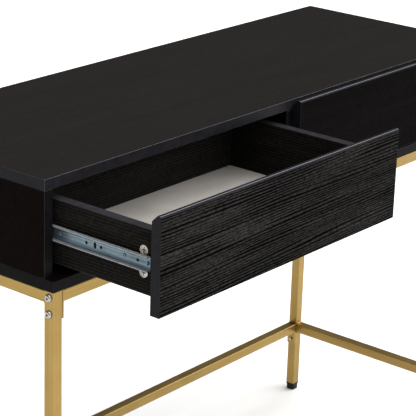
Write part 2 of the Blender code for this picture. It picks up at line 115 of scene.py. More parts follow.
# Slides
SLIDE_STEEL = 1 * MM
OUTER_RACE_DEPTH = 0.2 * MM  # hollow of a cabinet member's flanges, which the balls run in
INNER_RACE_DEPTH = 0.45 * MM  # and of a drawer member's
MEMBER_CORNER = 2 * MM
MEMBER_HOLES = (22 * MM, 88 * MM, 115 * MM, 225 * MM)  # behind the member's front end
MEMBER_SLOT = 99 * MM
MEMBER_SLOT_HEIGHT = 9 * MM
HOLE_RADIUS = 2.4 * MM
MEMBER_SCREWS = (46 * MM, 165 * MM)
SCREW_RADIUS = 3.2 * MM
SCREW_HEIGHT = 1.4 * MM
STOP_SETBACK = 3 * MM
STOP_STEEL = 1.2 * MM
STOP_REACH = 2.6 * MM
STOP_HEIGHT = 6.4 * MM
STOP_EDGE = 0.35 * MM
CAGE_STEEL = 0.6 * MM
CAGE_HEIGHT = 25.8 * MM
CAGE_DIP = 0.1 * MM
BALL_RADIUS = 1.6 * MM
BALLS_IN_ROW = 4

# Wood grain: length and width of each kind of mark
RING = 4.6 * MM  # from one growth line to the next
WAVE_LENGTH = math.tau / 10  # one wave of the texture, across
SWAYS = ((0.6, 0.12, 1.0), (0.3, 0.016, 0.3))  # slow drifts of the lines, with shares of the bend
BUNDLE = (0.16, 0.014)
PORE = (6 * MM, 1.3 * MM)
CLOUD = (0.3, 0.05)

# Studio
FLOOR_SIZE = 60
ROOM_LIGHT = 0.16
SOFT_LIGHT = 5.8
SOFT_LIGHT_WIDTH = 95  # degrees of sky that it fills
SOFT_LIGHT_FROM = (0.25, -0.5, 0.85)
CAMERA_AT = (-2.1925, -1.6896, 1.5802)
CAMERA_HEADING = 51.1  # degrees from +Y towards +X
CAMERA_PITCH = 19.54  # degrees below level
CAMERA_ROLL = 1.85
CAMERA_LENS = 155.5
CAMERA_SENSOR = 36


# Working in edit mode


def begin(name):
    """Names the new primitive, puts its place in its mesh and opens it in edit mode."""
    obj = bpy.context.object
    obj.name = obj.data.name = name
    bpy.ops.object.transform_apply(location=True, rotation=True, scale=True)
    bpy.ops.object.mode_set(mode="EDIT")
    return obj


def block(name, low, high):
    """A block from its low corner to its high corner, open in edit mode."""
    low, high = Vector(low), Vector(high)
    bpy.ops.object.select_all(action="DESELECT")
    bpy.ops.mesh.primitive_cube_add(size=1, location=(low + high) / 2, scale=high - low)
    return begin(name)


def round_bar(name, start, end, radius, sides=32, end_radius=None):
    """A round bar or cone between two points, open in edit mode."""
    start, end = Vector(start), Vector(end)
    bpy.ops.object.select_all(action="DESELECT")
    bpy.ops.mesh.primitive_cone_add(
        vertices=sides,
        radius1=radius,
        radius2=radius if end_radius is None else end_radius,
        depth=(end - start).length,
        location=(start + end) / 2,
        rotation=(end - start).to_track_quat("Z", "Y").to_euler(),
    )
    return begin(name)


def pick(kind, test):
    """Selects only the edges or faces that pass a test."""
    bpy.ops.mesh.select_mode(type=kind)
    bpy.ops.mesh.select_all(action="DESELECT")
    mesh = bpy.context.object.data
    bm = bmesh.from_edit_mesh(mesh)
    for item in {"EDGE": bm.edges, "FACE": bm.faces}[kind]:
        if test(item):
            item.select_set(True)
    bm.select_flush_mode()
    bmesh.update_edit_mesh(mesh)


def middle(item):
    return sum((vert.co for vert in item.verts), Vector()) / len(item.verts)


def runs_along(axis):
    """Edges that lie along an axis."""
    return lambda edge: abs((edge.verts[0].co - edge.verts[1].co).normalized()[axis]) > 0.99


def looks_along(axis, way=0):
    """Faces that look along an axis, either way or one way."""
    if way:
        return lambda face: face.normal[axis] * way > 0.99
    return lambda face: abs(face.normal[axis]) > 0.99


def lies_at(axis, place):
    """Edges or faces whose every corner lies at a place along an axis."""
    return lambda item: all(abs(vert.co[axis] - place) < SAME_PLACE for vert in item.verts)


def sharper_than(degrees):
    """Edges where two faces turn by more than an angle."""
    return lambda edge: edge.calc_face_angle(0) > math.radians(degrees)


def rounded(width, segments=3):
    bpy.ops.mesh.bevel(offset=width, segments=segments, profile=0.5, affect="EDGES")


def close(obj):
    """Ends edit mode with the faces outwards."""
    bpy.ops.mesh.select_all(action="SELECT")
    bpy.ops.mesh.normals_make_consistent(inside=False)
    bpy.ops.object.mode_set(mode="OBJECT")
    return obj


def only(obj):
    bpy.ops.object.select_all(action="DESELECT")
    obj.select_set(True)
    bpy.context.view_layer.objects.active = obj


def combine(obj, tool, operation):
    """Cuts a finished tool from a finished piece, or joins it on, and clears the tool away."""
    only(obj)
    bpy.ops.object.modifier_add(type="BOOLEAN")
    modifier = obj.modifiers[-1]
    modifier.operation = operation
    modifier.solver = "EXACT"
    modifier.object = tool
    bpy.ops.object.modifier_apply(modifier=modifier.name)
    bpy.data.objects.remove(tool)
    return obj


def cut(obj, tool):
    return combine(obj, tool, "DIFFERENCE")


def join_on(obj, tool):
    return combine(obj, tool, "UNION")


def gather(obj, others):
    """Joins finished shapes into one piece, each still whole."""
    only(obj)
    for other in others:
        other.select_set(True)
    bpy.ops.object.join()
    return obj


def copy_of(obj, name, move):
    """Another of a piece, with its own mesh, moved by a matrix."""
    twin = bpy.data.objects.new(name, obj.data.copy())
    twin.data.name = name
    twin.data.transform(move)
    if move.determinant() < 0:
        twin.data.flip_normals()
    bpy.context.scene.collection.objects.link(twin)
    return twin


def paint(obj, material, test=None):
    """Gives a finish to the whole piece, or to the faces that pass a test."""
    if material.name not in obj.data.materials:
        obj.data.materials.append(material)
    index = obj.data.materials.find(material.name)
    for face in obj.data.polygons:
        if test is None or test(face):
            face.material_index = index
    return obj


def fit_on(obj, body):
    """Puts a piece in: bends smooth, flats flat, moving with its body."""
    only(obj)
    bpy.ops.object.shade_smooth_by_angle(angle=math.radians(SMOOTH_BELOW))
    bpy.ops.object.modifier_add(type="WEIGHTED_NORMAL")
    modifier = obj.modifiers[-1]
    modifier.keep_sharp = True
    bpy.ops.object.modifier_apply(modifier=modifier.name)
    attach(obj, body)
    return obj


def install(obj, node):
    """Puts in the piece that stands for a frame node."""
    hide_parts(node)
    return fit_on(obj, BODY_OF[node])


# Finishes


def linear(code):
    """The linear colour of an sRGB hex code."""
    levels = [int(code[place : place + 2], 16) / 255 for place in (0, 2, 4)]
    return [c / 12.92 if c <= 0.04045 else ((c + 0.055) / 1.055) ** 2.4 for c in levels] + [1.0]


def add(tree, kind, inputs=None, stops=None, **settings):
    """Adds a node with its settings, its input values or links, and a ramp's two stops."""
    made = tree.nodes.new(kind)
    for name, value in settings.items():
        setattr(made, name, value)
    for name, value in (inputs or {}).items():
        if isinstance(value, bpy.types.NodeSocket):
            tree.links.new(value, made.inputs[name])
        else:
            made.inputs[name].default_value = value
    if stops:
        ramp = made.color_ramp
        for element, (place, code) in zip((ramp.elements[0], ramp.elements[1]), stops):
            element.position = place
            element.color = linear(code)
    return made


def new_finish(name, **shader_values):
    material = bpy.data.materials.new(name)
    material.use_nodes = True
    tree = material.node_tree
    shader = tree.nodes["Principled BSDF"]
    for socket, value in shader_values.items():
        shader.inputs[socket.replace("_", " ")].default_value = value
    return material, tree, shader


def mark(along, length, width):
    """Sizes along X, Y and Z of a mark that is long one way and narrow the others."""
    return [length if axis == along else width for axis in (X, Y, Z)]


def pattern(tree, sizes, detail, place=None):
    """A noise whose marks have these real sizes along X, Y and Z."""
    place = place or add(tree, "ShaderNodeTexCoord").outputs["Object"]
    scale = [1 / size for size in sizes]
    fitted = add(tree, "ShaderNodeMapping", {"Vector": place, "Scale": scale}).outputs[0]
    settings = {"Vector": fitted, "Scale": 1.0, "Detail": detail}
    return add(tree, "ShaderNodeTexNoise", settings).outputs[0]


def shared(tree, first, second, share):
    """Two patterns in one, with this share of the second."""
    return add(tree, "ShaderNodeMix", {"Factor": share, "A": first, "B": second}).outputs[0]


def ranged(tree, value, low, high, spread=0.2):
    """A pattern's swing turned to a range of values."""
    limits = {"From Min": 0.5 - spread, "From Max": 0.5 + spread, "To Min": low, "To Max": high}
    return add(tree, "ShaderNodeMapRange", {"Value": value, **limits}).outputs[0]


def surface(tree, shader, height, colours, roughness, relief, depth):
    """Colour, roughness and relief that come from the same marks, as in a real surface."""
    colour = add(tree, "ShaderNodeValToRGB", {"Fac": height}, stops=colours).outputs[0]
    bump = add(tree, "ShaderNodeBump", {"Height": relief, "Distance": depth}).outputs[0]
    tree.links.new(colour, shader.inputs["Base Color"])
    tree.links.new(ranged(tree, height, *roughness), shader.inputs["Roughness"])
    tree.links.new(bump, shader.inputs["Normal"])


def wood_grain_laminate(name, along, ground, line, bend, pore, gloss, emboss):
    """Melamine paper printed with straight black-stained ash, pressed on a textured plate:
    dark growth lines of uneven width, short pores between them, a grain that is felt."""
    material, tree, shader = new_finish(name, IOR=1.5, Specular_IOR_Level=gloss)
    place = add(tree, "ShaderNodeTexCoord").outputs["Object"]
    for length, width, share in SWAYS:
        scale = [1 / size for size in mark(along, length, width)]
        slow = add(tree, "ShaderNodeMapping", {"Vector": place, "Scale": scale}).outputs[0]
        noise = add(tree, "ShaderNodeTexNoise", {"Vector": slow, "Scale": 1.0, "Detail": 0.0})
        moves = {0: noise.outputs["Color"], 1: (bend * share,) * 3, 2: place}
        place = add(tree, "ShaderNodeVectorMath", moves, operation="MULTIPLY_ADD").outputs[0]
    # Growth lines are at their real spacing. Pores are drawn three or four times coarser than
    # real ones, which would be too fine to show.
    across = [0.0 if axis == along else WAVE_LENGTH / RING for axis in (X, Y, Z)]
    rings = add(tree, "ShaderNodeMapping", {"Vector": place, "Scale": across}).outputs[0]
    wave = add(
        tree,
        "ShaderNodeTexWave",
        {"Vector": rings, "Scale": 1.0, "Distortion": 0.0},
        bands_direction="DIAGONAL",
    ).outputs["Fac"]
    bundle = ranged(tree, pattern(tree, mark(along, *BUNDLE), 1.0, place), 0.22, -0.32, 0.15)
    height = add(tree, "ShaderNodeMath", {0: wave, 1: bundle}, operation="ADD").outputs[0]
    stops = ((0.15, line), (0.5, ground))
    lines = add(tree, "ShaderNodeValToRGB", {"Fac": height}, stops=stops).outputs[0]
    pores = pattern(tree, mark(along, *PORE), 1.0, place)
    clouds = pattern(tree, mark(along, *CLOUD), 1.0)
    tone = {
        0: ranged(tree, pores, 1 - pore, 1 + pore),
        1: ranged(tree, clouds, 1 - pore / 3, 1 + pore / 3),
    }
    depth = add(tree, "ShaderNodeMath", tone, operation="MULTIPLY").outputs[0]
    toned = add(
        tree, "ShaderNodeVectorMath", {0: lines, "Scale": depth}, operation="SCALE"
    ).outputs[0]
    bump = add(tree, "ShaderNodeBump", {"Height": height, "Distance": emboss}).outputs[0]
    tree.links.new(toned, shader.inputs["Base Color"])
    tree.links.new(ranged(tree, pores, 0.7, 0.5), shader.inputs["Roughness"])
    tree.links.new(bump, shader.inputs["Normal"])
    return material


def abs_edging(name, dark, light, gloss):
    """Extruded ABS band, ironed on: plain, a little cooler and shinier than the laminate,
    with the faint waves that the trimming knife leaves."""
    material, tree, shader = new_finish(name, Specular_IOR_Level=gloss)
    waves = pattern(tree, (0.012,) * 3, 2.0)
    surface(tree, shader, waves, ((0.3, dark), (0.7, light)), (0.36, 0.48), waves, 0.05 * MM)
    return material


def lacquered_hardboard():
    """Thin wet-formed hardboard with a grey print lacquer: flat, dull and slightly cloudy."""
    material, tree, shader = new_finish("grey_hardboard_print_lacquered", Specular_IOR_Level=0.25)
    fibre = pattern(tree, (0.0025,) * 3, 2.0)
    height = shared(tree, pattern(tree, (0.05,) * 3, 3.0), fibre, 0.5)
    colours = ((0.35, "a19c97"), (0.65, "b4afa9"))
    surface(tree, shader, height, colours, (0.5, 0.62), fibre, 0.04 * MM)
    return material


def brushed_metal(name, along, colours, metallic, rough, line, depth):
    """Metal drawn past an abrasive belt or a roll: fine lines the long way, which spread a
    highlight. The lines are drawn several times coarser than real ones, to show."""
    material, tree, shader = new_finish(name, Metallic=metallic)
    lines = pattern(tree, mark(along, 0.25, line), 3.0)
    height = shared(tree, lines, pattern(tree, (0.04,) * 3, 2.0), 0.3)
    surface(tree, shader, height, colours, (rough - 0.06, rough + 0.06), lines, depth)
    return material


def grained_metal(name, colours, metallic, rough, grain, depth):
    """Metal as it leaves a bath, a die or a torch: an even fine grain with clouds in it. The
    grain is drawn coarser than a real one, to show."""
    material, tree, shader = new_finish(name, Metallic=metallic)
    specks = pattern(tree, (grain,) * 3, 2.0)
    height = shared(tree, specks, pattern(tree, (10 * grain,) * 3, 2.0), 0.5)
    surface(tree, shader, height, colours, (rough - 0.07, rough + 0.07), specks, depth)
    return material


def moulded_polyethylene():
    """Injection-moulded polyethylene: soft black with a spark-eroded grain, dull at the sole."""
    material, tree, shader = new_finish("black_polyethylene_moulded", Specular_IOR_Level=0.2)
    grit = pattern(tree, (1.2 * MM,) * 3, 2.0)
    colours = ((0.3, "050506"), (0.7, "0c0c0e"))
    surface(tree, shader, grit, colours, (0.38, 0.55), grit, 0.08 * MM)
    return material


# One black ash laminate in a lit and a shaded copy: the worktop's is painted lighter, as painted light
# from above, and the case panels' much darker, as painted shade.
WORKTOP = wood_grain_laminate(
    "black_ash_laminate_lit_worktop",
    X,
    ground="1f1d1c",
    line="1c1a19",
    bend=0.004,
    pore=0.1,
    gloss=0.02,
    emboss=0.01 * MM,
)
PANEL_ALONG = {
    axis: wood_grain_laminate(
        f"black_ash_laminate_shaded_panel_{'xyz'[axis]}",
        axis,
        ground="100b0a",
        line="0c0807",
        bend=0.004,
        pore=0.25,
        gloss=0.008,
        emboss=0.02 * MM,
    )
    for axis in (X, Y, Z)
}
BOX_ALONG = {
    axis: wood_grain_laminate(
        f"black_ash_laminate_box_{'xyz'[axis]}",
        axis,
        ground="1e1d1a",
        line="121110",
        bend=0.004,
        pore=0.4,
        gloss=0.01,
        emboss=0.02 * MM,
    )
    for axis in (X, Y)
}
# The two fronts are copies of one laminate: the left is painted lighter with a bolder, more contrasting
# grain, as painted light, and the right darker and calmer, as painted shade.
FRONT_OF = {
    "left_drawer": wood_grain_laminate(
        "black_ash_laminate_lit_front",
        X,
        ground="222120",
        line="020202",
        bend=0.02,
        pore=0.65,
        gloss=0.005,
        emboss=0.08 * MM,
    ),
    "right_drawer": wood_grain_laminate(
        "black_ash_laminate_shaded_front",
        X,
        ground="0e0c0c",
        line="090808",
        bend=0.01,
        pore=0.25,
        gloss=0.005,
        emboss=0.02 * MM,
    ),
}
EDGING = abs_edging("black_abs_edging_ironed", "17161a", "1d1c20", gloss=0.06)
# A lighter, glossier copy of the edging for rounded edges and the fronts' noses: a painted highlight.
EDGE_HIGHLIGHT = abs_edging("black_abs_edging_painted_highlight", "3a3a40", "4a4a52", gloss=0.5)
BOX_EDGING = abs_edging("black_abs_edging_soft", "232226", "2c2b2f", gloss=0.1)
# A copy of the plain edging painted darker for the case panels: painted shade.
SHADED_CASE_EDGING = abs_edging("black_abs_edging_shaded", "0c0b0c", "131214", gloss=0.03)
# A fainter painted highlight for the rounded edges of the case panels and drawer boxes.
CASE_EDGE_HIGHLIGHT = abs_edging("black_abs_edging_faint_painted_highlight", "1c1c1f", "28282b", gloss=0.2)
HARDBOARD = lacquered_hardboard()
GOLD_ALONG = {
    axis: brushed_metal(
        f"gold_lacquered_steel_brushed_{'xyz'[axis]}",
        axis,
        ((0.35, "92773f"), (0.65, "a78c55")),
        metallic=0.95,
        rough=0.38,
        line=1.2 * MM,
        depth=0.02 * MM,
    )
    for axis in (X, Y, Z)
}
GOLD_WELD = grained_metal(
    "gold_lacquered_weld",
    ((0.35, "8b7039"), (0.65, "a3884f")),
    metallic=0.95,
    rough=0.42,
    grain=1.5 * MM,
    depth=0.05 * MM,
)
ZINC = brushed_metal(
    "zinc_plated_steel_rolled",
    Y,
    ((0.38, "455762"), (0.62, "7a8c96")),
    metallic=0.6,
    rough=0.36,
    line=1.5 * MM,
    depth=0.01 * MM,
)
# Bare zinc at the sheet's cut edges, and near-white on the flanges' upward faces as a painted
# highlight.
ZINC_EDGE_AND_HIGHLIGHT = grained_metal(
    "zinc_plated_steel_cut_edge_and_painted_highlight",
    ((0.35, "8c9093"), (0.65, "a9adb0")),
    metallic=0.3,
    rough=0.4,
    grain=0.8 * MM,
    depth=0.01 * MM,
)
DIE_CAST = grained_metal(
    "zinc_alloy_die_cast",
    ((0.35, "a39d93"), (0.65, "cdc7bc")),
    metallic=0.7,
    rough=0.45,
    grain=0.8 * MM,
    depth=0.04 * MM,
)
BOLT_STEEL = grained_metal(
    "nickel_plated_steel_turned",
    ((0.35, "969694"), (0.65, "bcbcba")),
    metallic=1.0,
    rough=0.3,
    grain=1.0 * MM,
    depth=0.01 * MM,
)
BALL_STEEL = grained_metal(
    "chrome_steel_ground",
    ((0.35, "d5d6d8"), (0.65, "ececee")),
    metallic=1.0,
    rough=0.12,
    grain=1.0 * MM,
    depth=0.002 * MM,
)
FOOT_PLASTIC = moulded_polyethylene()


# Case and drawer boards


def slanted(face):
    """The narrow faces of an eased edge, which look along no axis."""
    return max(abs(part) for part in face.normal) < 0.95


def banded_board(node, thickness, face_finish, edge=EDGING, highlight_finish=EDGE_HIGHLIGHT):
    """A board with edging round it: rounded edges and a rim of band on each face."""
    low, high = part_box(node)
    obj = block(f"{node}_board", low, high)
    bpy.ops.mesh.select_all(action="SELECT")
    rounded(EASED_EDGE)
    pick("FACE", looks_along(thickness))
    rim = BAND - EASED_EDGE
    bpy.ops.mesh.inset(thickness=rim)
    close(obj)
    paint(obj, edge)
    # The rounded edges take the lighter edging given: a painted highlight along each edge.
    paint(obj, highlight_finish, slanted)

    def on_face(face):
        margin = EASED_EDGE + 0.9 * rim
        within = all(
            low[axis] + margin < face.center[axis] < high[axis] - margin
            for axis in (X, Y, Z)
            if axis != thickness
        )
        return within and abs(face.normal[thickness]) > 0.99

    return paint(obj, face_finish, on_face)


def build_case():
    # The worktop takes the lighter copy of the laminate: painted light.
    install(banded_board("worktop", Z, WORKTOP), "worktop")
    for node, thickness, grain in (
        ("bottom_panel", Z, X),
        ("side_panel_left", X, Z),
        ("side_panel_right", X, Z),
        ("back_panel", Y, X),
        ("divider", X, Y),
    ):
        # The panels take the darker copies of laminate and edging, as painted shade, and a fainter
        # painted highlight on their rounded edges.
        board = banded_board(node, thickness, PANEL_ALONG[grain], SHADED_CASE_EDGING, CASE_EDGE_HIGHLIGHT)
        install(board, node)


def build_front(drawer):
    """A drawer front with a finger bevel behind its top edge, a round nose and a groove for
    the drawer's floor."""
    node = f"{drawer}_front"
    low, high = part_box(node)
    obj = block(f"{node}_board", low, high)

    def top_edge(y):
        return lambda edge: runs_along(X)(edge) and lies_at(Z, high.z)(edge) and lies_at(Y, y)(edge)

    def nose_highlight_faces(face):
        return slanted(face) and face.normal.y < 0 and face.normal.z > NOSE_HIGHLIGHT_FROM

    pick("EDGE", top_edge(high.y))
    rounded(BACK_BEVEL, 1)
    pick("EDGE", top_edge(low.y))
    rounded(NOSE, 4)
    pick("EDGE", sharper_than(35))
    rounded(EASED_EDGE, 2)
    close(obj)
    floor_low, floor_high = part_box(f"{drawer}_bottom")
    groove = block(
        "groove",
        (floor_low.x - GROOVE_ROOM, high.y - FLOOR_GROOVE, floor_low.z - GROOVE_ROOM),
        (floor_high.x + GROOVE_ROOM, high.y + FLOOR_GROOVE, floor_high.z + GROOVE_ROOM),
    )
    cut(obj, close(groove))
    paint(obj, EDGING)
    # The upward faces of the nose take the lighter edging: a painted highlight.
    paint(obj, EDGE_HIGHLIGHT, nose_highlight_faces)
    paint(obj, BOX_ALONG[X], lambda face: face.normal.y > 0.99)
    # The left front's face takes the lit copy and the right front's the shaded copy: painted light and
    # painted shade.
    paint(obj, FRONT_OF[drawer], lambda face: face.normal.y < -0.99)
    install(obj, node)


def cam_pocket(cam, side):
    """The round hole that a cam lock sits in, open through the outer face of a drawer side."""
    low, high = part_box(cam)
    thick = Vector((high.x - low.x, 0, 0))
    outward = -1 if side == "left" else 1
    centre = (low + high) / 2 + Vector((outward * (thick.x / 2 - GROOVE_ROOM), 0, 0))
    radius = (high.z - low.z) / 2 + GROOVE_ROOM
    return close(round_bar("pocket", centre - thick, centre + thick, radius))


def build_box(drawer):
    """The drawer's two sides, its back and its thin floor."""
    floor_low, floor_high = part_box(f"{drawer}_bottom")
    for side in ("left", "right"):
        node = f"{drawer}_side_{side}"
        low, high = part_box(node)
        obj = banded_board(node, X, BOX_ALONG[Y], BOX_EDGING, CASE_EDGE_HIGHLIGHT)
        groove = block(
            "groove",
            (floor_low.x - GROOVE_ROOM, low.y - BAND, floor_low.z - GROOVE_ROOM),
            (floor_high.x + GROOVE_ROOM, high.y + BAND, floor_high.z + GROOVE_ROOM),
        )
        cut(obj, close(groove))
        for level in ("upper", "lower"):
            cut(obj, cam_pocket(f"{drawer}_cam_{side}_{level}", side))
        install(obj, node)
    back = banded_board(f"{drawer}_back", Y, BOX_ALONG[X], BOX_EDGING, CASE_EDGE_HIGHLIGHT)
    install(back, f"{drawer}_back")
    floor = block(f"{drawer}_floor_sheet", floor_low, floor_high)
    bpy.ops.mesh.select_all(action="SELECT")
    rounded(FLOOR_EDGE, 2)
    install(paint(close(floor), HARDBOARD), f"{drawer}_bottom")


# Small metal pieces


def cross_recess(obj, face, outward, arm, width, depth):
    """Sinks a cross for a screwdriver into a face that looks along X."""
    for reach in ((arm, width), (width, arm)):
        low = face - Vector((depth, reach[0] / 2, reach[1] / 2))
        high = face + Vector((depth, reach[0] / 2, reach[1] / 2))
        cut(obj, close(block("recess", low, high)))
    pit = round_bar("pit", face - Vector((outward * depth * 1.3, 0, 0)), face, width / 4, 16, width)
    return cut(obj, close(pit))


def build_cams(drawer):
    """Die-cast cam locks: a raised rim, a sunk face and a cross recess."""
    for side, outward in (("left", -1), ("right", 1)):
        for level in ("upper", "lower"):
            node = f"{drawer}_cam_{side}_{level}"
            low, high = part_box(node)
            radius = (high.z - low.z) / 2
            centre = (low + high) / 2
            face = Vector((low.x if outward < 0 else high.x, centre.y, centre.z))
            back = Vector((high.x if outward < 0 else low.x, centre.y, centre.z))
            obj = round_bar(f"{node}_disc", back, face, radius, 48)
            pick("EDGE", lies_at(X, face.x))
            rounded(CAM_EDGE, 3)
            pick("FACE", lambda f: looks_along(X, outward)(f) and lies_at(X, face.x)(f))
            bpy.ops.mesh.inset(thickness=CAM_RIM)
            bpy.ops.mesh.inset(thickness=CAM_STEP, depth=-CAM_SUNK)
            close(obj)
            sunk = face - Vector((outward * CAM_SUNK, 0, 0))
            cross_recess(obj, sunk, outward, CAM_CROSS_ARM, CAM_CROSS_WIDTH, CAM_CROSS_DEPTH)
            install(paint(obj, DIE_CAST), node)


def screw_head(name, seat, outward, radius, height):
    """A pan-head screw's head on a face that looks along X."""
    top = seat + Vector((outward * height, 0, 0))
    obj = round_bar(name, seat, top, radius, 32)
    pick("EDGE", lies_at(X, top.x))
    rounded(height * 0.75, 4)
    close(obj)
    return paint(cross_recess(obj, top, outward, radius * 1.1, radius * 0.3, height * 0.7), ZINC)


def build_bolts():
    """Button-head bolts with a hexagon socket: one is modelled and copied to each seat."""
    low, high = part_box("front_rail_bolt_left_upper")
    axis = (low + high) / 2
    along = Vector((1, 0, 0))
    top = Vector((low.x, axis.y, axis.z))
    seat = top + HEAD_HEIGHT * along
    head = round_bar("bolt_head", seat, top, (high.z - low.z) / 2, 40)
    pick("EDGE", lies_at(X, top.x))
    rounded(HEAD_HEIGHT * HEAD_DOME, 7)
    pick("EDGE", lies_at(X, seat.x))
    rounded(HEAD_SEAT_EDGE, 2)
    close(head)
    socket = round_bar(
        "socket", top + SOCKET_DEPTH * along, top - SOCKET_DEPTH * along, SOCKET_RADIUS, 6
    )
    cut(head, close(socket))
    end = Vector((high.x, axis.y, axis.z))
    shank = round_bar("shank", seat - HEAD_HEIGHT / 2 * along, end, SHANK_RADIUS, 24)
    pick("EDGE", lies_at(X, high.x))
    rounded(SHANK_END_EDGE, 2)
    join_on(head, close(shank))
    paint(head, BOLT_STEEL)
    for node in (n for n in BODY_OF if "_bolt_" in n):
        other_low, other_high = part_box(node)
        place = (other_low + other_high) / 2
        turned = Matrix.Diagonal((-1 if place.x > 0 else 1, 1, 1, 1))
        move = Matrix.Translation(place) @ turned @ Matrix.Translation(-axis)
        install(copy_of(head, f"{node}_screw", move), node)
    bpy.data.objects.remove(head)


# Slides


def bend_flange(level, path):
    """Draws the sheet's top or bottom edge along a path of (across, up) moves."""
    mesh = bpy.context.object.data
    extreme = (max if level > 0 else min)(vert.co.z for vert in bmesh.from_edit_mesh(mesh).verts)
    pick("EDGE", lies_at(Z, extreme))
    for across, up in path:
        bpy.ops.mesh.extrude_region_move(TRANSFORM_OT_translate={"value": (across, 0, level * up)})


def corner_moves(radius, steps=4):
    """Moves round a quarter bend, from upright to flat."""
    angles = [math.pi / 2 * step / steps for step in range(steps + 1)]
    points = [(radius * (1 - math.cos(a)), radius * math.sin(a)) for a in angles]
    return [(b[0] - a[0], b[1] - a[1]) for a, b in zip(points, points[1:])]


def race_moves(length, dip, steps=6):
    """Moves along a flange that is hollowed for the balls."""
    points = [(length * s / steps, -dip * math.sin(math.pi * s / steps) ** 2) for s in range(steps + 1)]
    return [(b[0] - a[0], b[1] - a[1]) for a, b in zip(points, points[1:])]


def rolled_channel(name, low, high, mouth, steel, dip):
    """A rolled sheet-steel channel, its mouth towards one side, given its thickness last."""
    web = low.x if mouth > 0 else high.x
    height = high.z - low.z
    depth = high.x - low.x
    centre = Vector((web, (low.y + high.y) / 2, (low.z + high.z) / 2))
    bpy.ops.object.select_all(action="DESELECT")
    bpy.ops.mesh.primitive_plane_add(size=1, location=centre, rotation=(0, math.pi / 2, 0))
    obj = begin(name)
    bpy.ops.mesh.select_all(action="SELECT")
    sheet_size = (1, high.y - low.y, height - 2 * MEMBER_CORNER)
    bpy.ops.transform.resize(value=sheet_size, center_override=centre)
    path = corner_moves(MEMBER_CORNER) + race_moves(depth - MEMBER_CORNER, dip)
    path = [(mouth * across, up) for across, up in path]
    for level in (1, -1):
        bend_flange(level, path)
    bpy.ops.mesh.select_all(action="SELECT")
    bpy.ops.mesh.normals_make_consistent(inside=False)
    mesh = bpy.context.object.data
    bm = bmesh.from_edit_mesh(mesh)
    sheet = min(bm.faces, key=lambda face: abs(middle(face).z - centre.z))
    if sheet.normal.x * mouth > 0:
        bpy.ops.mesh.flip_normals()
    bpy.ops.object.mode_set(mode="OBJECT")
    bpy.ops.object.modifier_add(type="SOLIDIFY")
    solid = obj.modifiers[-1]
    solid.thickness = steel
    solid.offset = -1
    solid.use_even_offset = True
    bpy.ops.object.modifier_apply(modifier=solid.name)
    bpy.ops.object.modifier_add(type="BEVEL")
    soft = obj.modifiers[-1]
    soft.width = steel * 0.2
    soft.segments = 2
    soft.limit_method = "ANGLE"
    soft.angle_limit = math.radians(60)
    bpy.ops.object.modifier_apply(modifier=soft.name)
    rim = high.x - steel if mouth > 0 else low.x + steel

    # The cut edges at the mouth are bare steel; the upward faces of the flanges are painted near-white
    # too, a painted highlight.
    def bright(face):
        return (face.center.x - rim) * mouth > 0 or face.normal.z > 0.8

    paint(obj, ZINC)
    return paint(obj, ZINC_EDGE_AND_HIGHLIGHT, bright)


def build_slide(drawer, side):
    """A ball-bearing slide: cabinet member, drawer member with its holes, screws and front
    stop, and the ball cage between them."""
    towards_box = 1 if side == "left" else -1
    slide = f"{drawer}_slide_{side}"
    node = f"{slide}_cabinet_member"
    low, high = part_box(node)
    rail = rolled_channel(f"{node}_rail", low, high, towards_box, SLIDE_STEEL, OUTER_RACE_DEPTH)
    install(rail, node)

    node = f"{slide}_drawer_member"
    low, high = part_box(node)
    rail = rolled_channel(f"{node}_rail", low, high, -towards_box, SLIDE_STEEL, INNER_RACE_DEPTH)
    web = high.x if towards_box > 0 else low.x
    front = Vector((web - towards_box * SLIDE_STEEL, low.y, (low.z + high.z) / 2))
    pierce_member(rail, front)
    install(rail, node)
    for step, setback in enumerate(MEMBER_SCREWS):
        seat = front + Vector((0, setback, 0))
        head = screw_head(f"{slide}_screw_{step + 1}", seat, -towards_box, SCREW_RADIUS, SCREW_HEIGHT)
        fit_on(head, drawer)
    build_stop(f"{slide}_front_stop", front, -towards_box, drawer)
    build_cage(f"{slide}_ball_cage", towards_box)


def pierce_member(rail, front):
    """Punches the holes and the upright slot of a drawer member, set back from its front end."""
    for setback in MEMBER_HOLES:
        spot = front + Vector((0, setback, 0))
        through = Vector((2 * SLIDE_STEEL, 0, 0))
        cut(rail, close(round_bar("hole", spot - through, spot + through, HOLE_RADIUS, 24)))
    half = Vector((2 * SLIDE_STEEL, HOLE_RADIUS, MEMBER_SLOT_HEIGHT / 2))
    spot = front + Vector((0, MEMBER_SLOT, 0))
    slot = block("slot", spot - half, spot + half)
    pick("EDGE", runs_along(X))
    rounded(HOLE_RADIUS * 0.9, 5)
    cut(rail, close(slot))


def build_stop(name, front, outward, body):
    """The bent tongue at a drawer member's front end."""
    near = front + Vector((0, STOP_SETBACK, -STOP_HEIGHT / 2))
    far = near + Vector((outward * STOP_REACH, STOP_STEEL, STOP_HEIGHT))
    low = [min(a, b) for a, b in zip(near, far)]
    high = [max(a, b) for a, b in zip(near, far)]
    stop = block(name, low, high)
    bpy.ops.mesh.select_all(action="SELECT")
    rounded(STOP_EDGE, 2)
    fit_on(paint(close(stop), ZINC), body)


